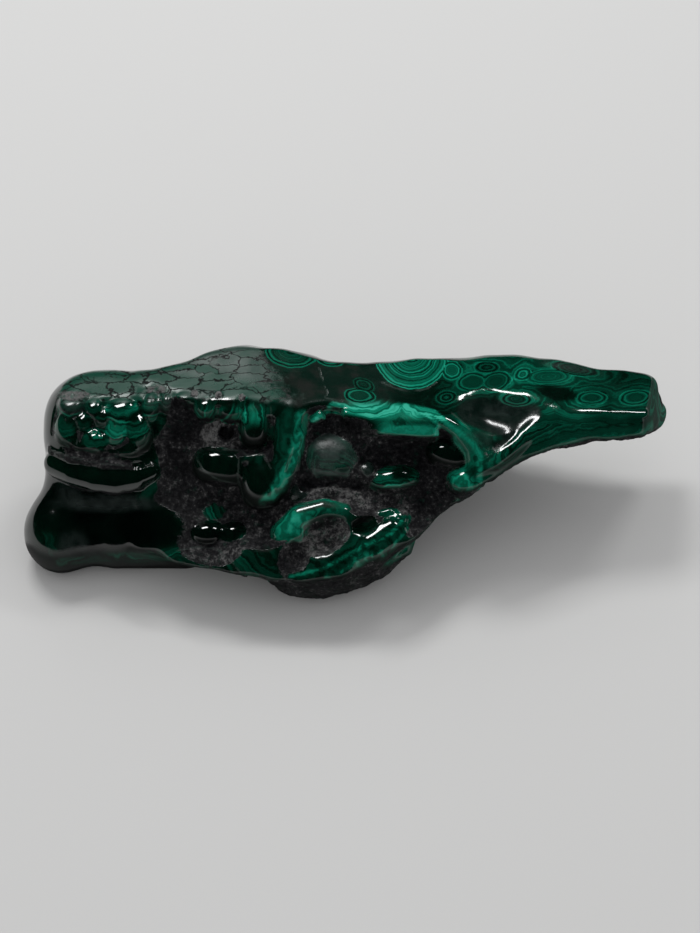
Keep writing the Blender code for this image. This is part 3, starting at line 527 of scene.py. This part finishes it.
def with_modifier(mesh, kind, **settings):
    """The mesh as a modifier leaves it."""
    holder = bpy.data.objects.new("holder", mesh)
    bpy.context.scene.collection.objects.link(holder)
    modifier = holder.modifiers.new(kind.lower(), kind)
    for key, value in settings.items():
        setattr(modifier, key, value)
    graph = bpy.context.evaluated_depsgraph_get()
    made = bpy.data.meshes.new_from_object(holder.evaluated_get(graph))
    bpy.data.objects.remove(holder)
    bpy.data.meshes.remove(mesh)
    return made


def carved_mesh(grain):
    """The blank with the relief let into it a millimetre at a time, meshed afresh at each stage."""
    mesh = blank_mesh()
    for lift in range(LIFT, -1, -1):
        mesh = with_modifier(mesh, "REMESH", mode="VOXEL", voxel_size=ROUGH_GRAIN)
        settle(mesh, rounds=4, lift=lift)
    for size in ((ROUGH_GRAIN + grain) / 2, grain, grain):
        mesh = with_modifier(mesh, "REMESH", mode="VOXEL", voxel_size=size)
        settle(mesh, rounds=5)
    return mesh


def stand_and_cut(mesh):
    """Turns the stone as it stands, in metres, and cuts it off flat at the base."""
    mesh.transform(Matrix.Scale(MM, 4) @ Matrix.Rotation(LEAN, 4, "X"))
    bm = bmesh.new()
    bm.from_mesh(mesh)
    cut = bmesh.ops.bisect_plane(
        bm, geom=bm.verts[:] + bm.edges[:] + bm.faces[:], dist=1e-6, plane_co=(0, 0, 0), plane_no=(0, 0, 1),
        clear_inner=True,
    )
    edges = [item for item in cut["geom_cut"] if isinstance(item, bmesh.types.BMEdge)]
    bmesh.ops.holes_fill(bm, edges=edges, sides=0)
    bmesh.ops.recalc_face_normals(bm, faces=bm.faces)
    bm.to_mesh(mesh)
    bm.free()


def vectors_of(mesh, kind):
    """The mesh's vertex places or normals as rows."""
    rows = np.empty(len(mesh.vertices) * 3, np.float32)
    source, key = (mesh.vertices, "co") if kind == "co" else (mesh.vertex_normals, "vector")
    source.foreach_get(key, rows)
    return rows.reshape(-1, 3).astype(float)


def eased_step(value, low, high):
    """0 below low, 1 above high and smooth between them."""
    t = np.clip((value - low) / (high - low), 0, 1)
    return t * t * (3 - 2 * t)


def to_path(points, path):
    """Distance from a path of two or three coordinates."""
    path = np.array(path, float)
    points = points[:, :path.shape[1]]
    best = np.full(len(points), 1e9)
    for a, b in zip(path, path[1:]):
        t = np.clip((points - a) @ (b - a) / ((b - a) @ (b - a)), 0, 1)
        best = np.minimum(best, np.linalg.norm(points - a - t[:, None] * (b - a), axis=1))
    return best


def within(points, x, y, along, up, turn):
    """How far out points lie from an ellipse's centre on the face, 1 at its edge."""
    c, s = math.cos(math.radians(turn)), math.sin(math.radians(turn))
    u = (c * (points[:, 0] - x) + s * (points[:, 1] - y)) / along
    v = (-s * (points[:, 0] - x) + c * (points[:, 1] - y)) / up
    return np.hypot(u, v)


def read_at(table, x):
    """A table of pairs read at x."""
    return np.interp(x, *np.transpose(table))


def shown_at(points, normals):
    """Matrix, lightness and how far the skin is rough and painted greyish as a sheen, at each point of the stone: the
    last form to cut or fill it there decides.
    """
    x = points[:, 0]
    front = eased_step(normals[:, 2], 0, 0.3)
    value = trunk(points)
    carved = np.zeros(len(x))
    shown = np.stack([np.zeros(len(x)), read_at(TRUNK_LIGHT, x), np.zeros(len(x))])
    for form in BODIES + RELIEF:
        cut = form["kind"] in ("hollow", "groove")
        distance = (rod if "points" in form else ellipsoid)(points, form)
        own = np.clip(0.5 + ((-distance - value) if cut else (value - distance)) / 1.2, 0, 1)
        target = np.array((*SHOWS[form["name"]], 0)[:3])[:, None]
        shown += (target - shown) * own
        carved += ((form in RELIEF) - carved) * own
        value = -smooth_min(-value, distance, form["blend"]) if cut else smooth_min(value, distance, form["blend"])
    # the relief's downward-facing undersides turn dull matrix, partly as unpolished stone, and their green is darkened
    # as painted shade
    under = carved * eased_step(-normals[:, 1], 0.7, 0.95)
    shown[0] += (np.maximum(shown[0], 0.8) - shown[0]) * under
    shown[1] *= 1 - 0.8 * under
    depth, level = stands(points)
    top = eased(x, 4) - TOP_FALL * depth - level
    own = np.clip(0.5 + (0.9 - top) / 1.2, 0, 1)
    ground = np.stack([np.zeros(len(x)), read_at(TOP_LIGHT, x), np.zeros(len(x))])
    shown += (ground - shown) * own
    # the patches: most are the stone's own colour, a few are painted light and shade
    for px, py, along, up, turn, dull, light, strength in COLOUR_LIGHT_AND_SHADE_PATCHES:
        own = front * strength * (1 - eased_step(within(points, px, py, along, up, turn), 0.5, 1.2))
        shown += (np.array((dull, light, 0))[:, None] - shown) * own * np.array((1, 1, 0))[:, None]
    # painted sheen: these patches make the skin satin, and the material paints that skin greyish
    for px, py, along, up, turn, strength in SHEEN_PATCHES:
        own = front * strength * (1 - eased_step(within(points, px, py, along, up, turn), 0.4, 1.3))
        shown[2] = np.maximum(shown[2], own)
    for width, light, strength, path in STREAKS:
        own = front * strength * (1 - eased_step(to_path(points, path), width * 0.6, width * 1.6))
        shown += (np.array((0, light, 0))[:, None] - shown) * own

    # the broken rim under the carved face and the neck
    rim = eased_step(-normals[:, 1], 0.45, 0.8) * eased_step(x, -30, -22)
    shown[0] += (0.62 - shown[0]) * rim
    shown[1] += (0.2 - shown[1]) * rim
    return shown


def eyes_at(points, normals):
    """How deep in mm each point of the ground top lies in the nearest eye, and that eye's light and rings."""
    deepest = np.full(len(points), -20.0)
    light, ringed = np.full(len(points), 0.3), np.zeros(len(points))
    for x, y, along, up, turn, eye_light, eye_ringed in EYES:
        depth = (1 - within(points, x, y, along, up, turn)) * math.sqrt(along * up)
        nearer = depth > deepest
        deepest = np.where(nearer, depth, deepest)
        light = np.where(nearer, eye_light, light)
        ringed = np.where(nearer, eye_ringed, ringed)
    facing = eased_step(normals[:, 2], 0.2, 0.5)
    return deepest * facing - 20 * (1 - facing), light, ringed


def growth_at(points):
    """Distance in mm outward through the bands from the nearest line or centre that they grew round."""
    spread = np.random.default_rng(7)
    best = np.full(len(points), 1e9)
    for reach_mm, path in GROWTH:
        best = np.minimum(best, to_path(points, path) - reach_mm)
    for _ in range(SCATTERED):
        centre = spread.uniform((-90, -18, -30), (92, 50, 34))
        best = np.minimum(best, np.linalg.norm(points - centre, axis=1) + spread.uniform(0, 9))
    return best


def roughened(mesh, points, normals, dull):
    """Lets the matrix's own grain and lumps, and faint waves in the polish, into the surface."""
    grain = np.array([noise.noise(Vector(p) / 0.9) + noise.noise(Vector(p) / 1.9) * 1.3 for p in points])
    lumps = np.array([noise.noise(Vector(p) / 4.5) + noise.noise(Vector(p + 50) / 9) * 0.6 for p in points])
    coarse = eased_step(dull, 0.35, 0.75)
    height = coarse * (0.24 * grain + 0.6 * lumps) + (1 - coarse) * 0.07 * lumps
    mesh.vertices.foreach_set("co", (points + normals * height[:, None]).astype(np.float32).ravel())
    mesh.update()


def crazed_at(points, upward):
    """Where the ground top has its crazed skin, and where that skin's cells are fresh green."""
    x, y = points[:, 0], points[:, 1]
    low, high = read_at(CRAZED_FROM, x), read_at(CRAZED_TO, x)
    crazed = eased_step(upward, 0.7, 0.9) * eased_step(y, low - 3, low) * (1 - eased_step(y, high - 5, high + 4))
    crazed *= 1 - eased_step(x, -34, -6)
    return crazed, crazed * (1 - eased_step(y, low + 1.5, low + read_at(FRESH_REACH, x)))


def smoky_at(points, upward, crazed):
    """Where the ground top is smoky: its middle, from the crazed skin to the fan-shaped eye."""
    x, y = points[:, 0], points[:, 1]
    on_top = eased_step(upward, 0.9, 0.975)
    smoky = on_top * eased_step(x, -30, -24) * (1 - eased_step(x, 6, 20)) * (1 - crazed)
    return smoky * np.maximum(eased_step(y, 31.5, 33.5), 1 - eased_step(x, -6, -2))


def worn_at(points, normals, upward):
    """Where the polish doesn't mirror: the underside, what the forms above shelter, and the cut end of the neck."""
    x, y = points[:, 0], points[:, 1]
    lip = eased_step(y, 7, 8.5) * (1 - eased_step(y, 15, 16.5)) * (1 - eased_step(x, -54, -50))
    behind = eased_step(normals[:, 1] * math.cos(LEAN) - normals[:, 2] * math.sin(LEAN), 0.2, 0.6)
    worn = eased_step(-upward, 0, 0.4) * (0.92 - 0.32 * lip) * (1 - 0.65 * behind)
    sheltered = np.maximum(eased_step(x, -52, -48), eased_step(y, 16.5, 18) * eased_step(x, -86, -82))
    sheltered = np.maximum(sheltered, 0.8 * (1 - eased_step(y, -9, -6)))
    worn = np.maximum(worn, 0.85 * sheltered * eased_step(-upward, -0.5, -0.18))
    return np.maximum(worn, eased_step(normals[:, 0], 0.5, 0.8) * eased_step(x, 70, 80) * 0.9)


def paint(mesh):
    """Stores on the mesh what its material reads, and roughens what is matrix."""
    points, normals = vectors_of(mesh, "co"), vectors_of(mesh, "normal")
    upward = normals[:, 1] * math.sin(LEAN) + normals[:, 2] * math.cos(LEAN)
    dull, light, satin = shown_at(points, normals)
    eye, eye_light, eye_rings = eyes_at(points, normals)
    growth = np.minimum(growth_at(points), np.where(eye > -9, -eye + 0.4, 1e9))
    front = eased_step(normals[:, 2], 0, 0.2)
    # distance to the pale lines: partly hair lines, partly painted highlights and reflections along the lobes' rims
    seam = np.minimum.reduce([to_path(points, path) for path in HAIRLINES_AND_GLINTS])
    seam = np.minimum(seam, 4) * front + 4 * (1 - front)
    crazed, fresh = crazed_at(points, upward)
    light = light + (fresh - light) * eased_step(crazed, 0.3, 0.6)
    smoky = smoky_at(points, upward, crazed)
    worn = worn_at(points, normals, upward)
    for name, values in (
        ("dull", dull), ("light", light), ("satin", satin), ("eye", eye), ("eye_light", eye_light),
        ("eye_rings", eye_rings), ("growth", growth), ("seam", seam), ("crazed", crazed), ("smoky", smoky),
        ("worn", worn),
    ):
        attribute = mesh.attributes.new(name, "FLOAT", "POINT")
        attribute.data.foreach_set("value", np.asarray(values, np.float32))
    roughened(mesh, points, normals, dull)


stone_mesh = carved_mesh(GRAIN)
paint(stone_mesh)
stand_and_cut(stone_mesh)
stone_mesh.shade_smooth()
stone = bpy.data.objects.new(NAME, stone_mesh)
bpy.context.scene.collection.objects.link(stone)


class Signal:
    """What a socket of the material gives. Arithmetic on it adds the Math nodes."""

    tree = None

    def __init__(self, socket):
        self.socket = socket

    @classmethod
    def node(cls, kind, settings=None, out=0, **sockets):
        """A node's output. Its settings are set first, and then its sockets, by name or as s0, s1 and on."""
        made = cls.tree.nodes.new("ShaderNode" + kind)
        for key, value in (settings or {}).items():
            if key == "stops":
                ramp = made.color_ramp.elements
                while len(ramp) < len(value):
                    ramp.new(0.5)
                for stop, (at, colour) in zip(ramp, value):
                    stop.position = at
                    stop.color = (*colour, 1)
            else:
                setattr(made, key, value)
        for key, value in sockets.items():
            socket = made.inputs[int(key[1:]) if key[1:].isdigit() else key]
            if isinstance(value, Signal):
                cls.tree.links.new(value.socket, socket)
            else:
                socket.default_value = value
        return cls(made.outputs[out])

    def sum(self, operation, other, turned=False):
        """A Math node on this signal and another, or on another and this one where turned."""
        first, second = (other, self) if turned else (self, other)
        return Signal.node("Math", {"operation": operation}, s0=first, s1=second)

    def __add__(self, other):
        return self.sum("ADD", other)

    def __radd__(self, other):
        return self.sum("ADD", other)

    def __sub__(self, other):
        return self.sum("SUBTRACT", other)

    def __rsub__(self, other):
        return self.sum("SUBTRACT", other, turned=True)

    def __mul__(self, other):
        return self.sum("MULTIPLY", other)

    def __rmul__(self, other):
        return self.sum("MULTIPLY", other)


def stored(name):
    """One of the values painted on the stone."""
    return Signal.node("Attribute", {"attribute_name": name}, out="Fac")


def step(value, low, high):
    """0 below low, 1 above high and smooth between them."""
    return Signal.node(
        "MapRange", {"interpolation_type": "SMOOTHSTEP"}, Value=value, s1=low, s2=high, s3=0.0, s4=1.0
    )


def mottle(place, size, detail=3.0, roughness=0.55):
    """Soft noise about 0 with patches of the given size in mm."""
    grain = Signal.node("TexNoise", {}, Vector=place, Scale=1 / size, Detail=detail, Roughness=roughness)
    return grain - 0.5


def lines(distance, size, detail=2.0, roughness=0.5):
    """Bands of uneven width about 0 along a distance in mm."""
    bands = Signal.node(
        "TexNoise", {"noise_dimensions": "1D"}, W=distance, Scale=1 / size, Detail=detail, Roughness=roughness
    )
    return bands - 0.5


def blended(factor, first, second):
    """Two colours mixed."""
    return Signal.node("Mix", {"data_type": "RGBA"}, out=2, s0=factor, s6=first, s7=second)


# the greens from the darkest band to the lightest, and the matrix from its pits to its dust
GREENS = (
    (0.00, (0.0004, 0.0016, 0.0011)),
    (0.22, (0.0004, 0.0075, 0.0040)),
    (0.42, (0.0006, 0.0330, 0.0185)),
    (0.62, (0.0015, 0.0950, 0.0550)),
    (0.82, (0.0050, 0.2100, 0.1300)),
    (1.00, (0.0350, 0.3800, 0.2600)),
)
MATRIX = (
    (0.00, (0.0016, 0.0018, 0.0026)),
    (0.40, (0.0085, 0.0086, 0.0098)),
    (0.65, (0.0250, 0.0252, 0.0262)),
    (1.00, (0.1300, 0.1300, 0.1270)),
)
# the crazed skin, the smoky top, the satin lobes with their painted greyish sheen, green dust on the matrix, the pale
# lines that are partly hair lines and partly painted highlights and reflections, and how the finishes mirror
DEEP_CELL, PALE_CELL = (0.0020, 0.0360, 0.0230, 1), (0.0300, 0.0560, 0.0450, 1)
FRESH_CELL, CRACK = (0.0015, 0.0450, 0.0270, 1), (0.0010, 0.0016, 0.0016, 1)
DARK_SMOKE, PALE_SMOKE = (0.0030, 0.0150, 0.0100, 1), (0.0200, 0.0210, 0.0190, 1)
DARK_SATIN_SHEEN, PALE_SATIN_SHEEN = (0.0060, 0.0160, 0.0140, 1), (0.0360, 0.0560, 0.0500, 1)
GREEN_DUST, HAIRLINE_AND_GLINT = (0.0020, 0.0260, 0.0160, 1), (0.0600, 0.0820, 0.0720, 1)
POLISHED_IOR, UNPOLISHED_IOR, UNPOLISHED_MIRROR = 1.75, 1.45, 0.15

material = bpy.data.materials.new("banded_malachite")
material.use_nodes = True
material.node_tree.nodes.remove(material.node_tree.nodes["Principled BSDF"])
Signal.tree = material.node_tree

metres = Signal.node("TexCoord", out="Object")
place = Signal.node("VectorMath", {"operation": "SCALE"}, Vector=metres, Scale=1000.0)
dull, light, satin, seam = stored("dull"), stored("light"), stored("satin"), stored("seam")
eye, eye_light, eye_rings, growth = stored("eye"), stored("eye_light"), stored("eye_rings"), stored("growth")
crazed = step(stored("crazed") + mottle(place, 7, 5.0, 0.75) * 1.8, 0.22, 0.78)
smoky, worn = stored("smoky"), stored("worn")

# the grown bands
swell = mottle(place, 12)
ripple_fine = mottle(place, 2.2)
along = growth + swell * 6 + ripple_fine * 1.4
broad = lines(along, 3.4, 3.0, 0.6)
narrow = lines(along + 40, 0.8, 1.0, 0.4)
clouds = mottle(place, 7, 4.0, 0.6)
level = light * (0.82 + broad * 2.6 + narrow * 1.0) + clouds * 0.28 + 0.02

# the eyes: pale and dark outlines, and rings inside
inside = eye + mottle(place, 3.6) * 1.1 + mottle(place, 1.1) * 0.25
in_eye = step(inside, -0.1, 0.1)
outline = step(inside, -0.35, -0.1) - step(inside, 0.15, 0.35) + (step(inside, 0.75, 0.9) - step(inside, 1.15, 1.35))
shadow_line = step(inside, 0.3, 0.5) - step(inside, 0.6, 0.8)
rings = lines(inside * 1.15 + eye_light * 20, 0.62, 1.0, 0.4) * 2.0
core = eye_light + rings * (0.1 + 0.34 * eye_rings) + clouds * 0.15
level = level + (core - level) * in_eye
level = level + outline * (0.04 + 0.42 * eye_light) - shadow_line * (0.06 + 0.2 * eye_light)
greens = Signal.node("ValToRGB", {"stops": GREENS}, Fac=level)

# the crazed skin and the smoky place on the ground top
squeezed = Signal.node("Mapping", {}, Vector=place, Rotation=(0, 0, 0.22), Scale=(0.12, 0.27, 0.27))
bent = Signal.node("VectorMath", {"operation": "ADD"}, s0=squeezed, s1=Signal.node(
    "VectorMath", {"operation": "SCALE"}, s0=Signal.node(
        "TexNoise", {}, out="Color", Vector=place, Scale=0.35, Detail=3.0), Scale=0.9))
cracks = Signal.node("TexVoronoi", {"feature": "DISTANCE_TO_EDGE"}, Vector=bent, Scale=1.0)
crack = (1 - step(cracks, 0.012, 0.075)) * step(mottle(place, 6), -0.22, -0.02)
cell = Signal.node("SeparateColor", {}, s0=Signal.node("TexVoronoi", {}, out="Color", Vector=bent, Scale=1.0))
skin = blended(cell * 0.8 + clouds * 1.6 + mottle(place, 14) * 1.4, DEEP_CELL, PALE_CELL)
fresh = step(light + cell * 0.6 + clouds * 1.1, 0.42, 0.95)
skin = blended(fresh, skin, FRESH_CELL)
skin = blended(crack, skin, CRACK)
smoke = blended(step(mottle(place, 8), -0.08, 0.16), DARK_SMOKE, PALE_SMOKE)
colour = blended(smoky * 0.7 * (1 - in_eye), greens, smoke)
colour = blended(crazed * (1 - in_eye * 0.7), colour, skin)

# the satin lobes, painted greyish as a sheen, and the matrix between the polished bodies
satin_sheen_colour = blended(step(mottle(place, 5, 5.0, 0.7), -0.12, 0.14), DARK_SATIN_SHEEN, PALE_SATIN_SHEEN)
colour = blended(satin * 0.85, colour, satin_sheen_colour)
bare = step(dull + mottle(place, 2.4, 5.0, 0.75) * 1.3, 0.38, 0.66)
grains = mottle(place, 1.3, 6.0, 0.85)
specks = step(mottle(place, 0.5, 2.0, 0.6), 0.06, 0.2)
patchy = mottle(place, 7, 4.0, 0.6)
dust = grains * 2.9 + patchy * 1.0 + specks * 0.22 + light * 0.74 + 0.25
stony = Signal.node("ValToRGB", {"stops": MATRIX}, Fac=dust)
green_dust = step(mottle(place, 3.2, 5.0, 0.75), 0.06, 0.2) * 0.7
stony = blended(green_dust, stony, GREEN_DUST)
colour = blended(bare, colour, stony)
# the pale lines: partly hair lines, partly painted highlights and reflections along the lobes' rims
hairline_and_glint_mask = (1 - step(seam + mottle(place, 1.5) * 0.7, 0.12, 0.42)) * step(mottle(place, 5), -0.2, 0.0)
colour = blended(hairline_and_glint_mask * 0.32, colour, HAIRLINE_AND_GLINT)

# how rough each finish is, and the fine relief under it
polish = 0.07 + step(clouds, -0.2, 0.3) * 0.05 + crazed * (0.2 + crack * 0.3) + smoky * 0.06 + satin * 0.3
roughness = polish + (0.42 + grains * 0.5 - polish) * bare
roughness = roughness + (0.85 - roughness) * worn
height = mottle(place, 0.8, 4.0, 0.75) * bare * 0.9 + mottle(place, 0.9, 3.0, 0.7) * satin * 0.14
height = height + mottle(place, 3.0) * 0.04 - hairline_and_glint_mask * 0.04
relief = Signal.node("Bump", {}, Strength=0.8, Distance=0.001, Height=height)

# the polish mirrors; the matrix, the cracks and the worn underside hardly do
finish = {"Base Color": colour, "Roughness": roughness, "Normal": relief}
polished = Signal.node("BsdfPrincipled", {}, IOR=POLISHED_IOR, **finish)
finish |= {"IOR": UNPOLISHED_IOR, "Specular IOR Level": UNPOLISHED_MIRROR}
unpolished = Signal.node("BsdfPrincipled", {}, **finish)
kept = (1 - bare) * (1 - crazed * (crack * 0.85 + fresh * 0.5 + cell * 0.12)) * (1 - worn)
surface = Signal.node("MixShader", {}, s0=kept, s1=unpolished, s2=polished)
Signal.tree.links.new(surface.socket, material.node_tree.nodes["Material Output"].inputs["Surface"])
stone_mesh.materials.append(material)

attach(stone, "root")
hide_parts("malachite_stone")

# THE FLOOR
# A plain pale sheet of matt paper, laid flat under the stone and wider than the view. It is there to carry the
# stone's shadow, and isn't part of the stone.
bm = bmesh.new()
bmesh.ops.create_grid(bm, x_segments=1, y_segments=1, size=2)
floor_mesh = bpy.data.meshes.new("floor")
bm.to_mesh(floor_mesh)
bm.free()
floor = bpy.data.objects.new("floor", floor_mesh)
bpy.context.scene.collection.objects.link(floor)
paper = bpy.data.materials.new("pale_sheet")
paper.use_nodes = True
sheet = paper.node_tree.nodes["Principled BSDF"]
sheet.inputs["Base Color"].default_value = (0.55, 0.55, 0.542, 1)
sheet.inputs["Roughness"].default_value = 0.9
floor_mesh.materials.append(paper)


# THE LIGHT
# Three windows high behind the stone: a wide one on the left, a narrow one on the right, and a small far one whose
# sheen lies on the ground top. The room's own soft light is round them.
def window(name, place, size, watts):
    """A rectangle of light that faces the stone."""
    lamp = bpy.data.lights.new(name, "AREA")
    lamp.shape = "RECTANGLE"
    lamp.size, lamp.size_y = size
    lamp.energy = watts
    holder = bpy.data.objects.new(name, lamp)
    holder.location = place
    holder.rotation_mode = "QUATERNION"
    holder.rotation_quaternion = (Vector(place) - Vector((0, 0, 0.03))).to_track_quat("Z", "Y")
    bpy.context.scene.collection.objects.link(holder)


window("high_window", (-0.3, 0.6, 0.95), (0.42, 0.25), 5.6)
window("side_window", (0.45, 0.62, 0.95), (0.3, 0.12), 2.2)
window("back_window", (-0.17, 1.4, 1.12), (0.22, 0.3), 0.46)
world = bpy.data.worlds.new("room")
world.use_nodes = True
world.node_tree.nodes["Background"].inputs["Color"].default_value = (0.68, 0.68, 0.69, 1)
bpy.context.scene.world = world
world.cycles_visibility.glossy = False
bpy.context.scene.view_settings.view_transform = "Standard"

# THE CAMERA
# It looks down on the stone from the front, square on to its carved face, through a long lens, so that a
# millimetre on the face is almost the same number of pixels all over it.
TILT = math.radians(50)
PIXELS_PER_MM = 3.5
FOCAL_LENGTH = 85
SENSOR = 36
IMAGE_HEIGHT = 933
ZERO_ROW = 518
FACE_HEIGHT = 33
UP_THE_FACE = Vector((0, math.sin(TILT), math.cos(TILT)))
OUT_OF_FACE = Vector((0, -math.cos(TILT), math.sin(TILT)))
distance = IMAGE_HEIGHT * FOCAL_LENGTH / SENSOR / PIXELS_PER_MM * MM
target = UP_THE_FACE * (ZERO_ROW - IMAGE_HEIGHT / 2) / PIXELS_PER_MM * MM + OUT_OF_FACE * FACE_HEIGHT * MM
camera = bpy.data.objects.new("camera", bpy.data.cameras.new("camera"))
camera.data.lens = FOCAL_LENGTH
camera.data.sensor_width = SENSOR
camera.data.clip_start = 0.01
camera.location = target + OUT_OF_FACE * distance
camera.rotation_mode = "QUATERNION"
camera.rotation_quaternion = OUT_OF_FACE.to_track_quat("Z", "Y")
bpy.context.scene.collection.objects.link(camera)
bpy.context.scene.camera = camera
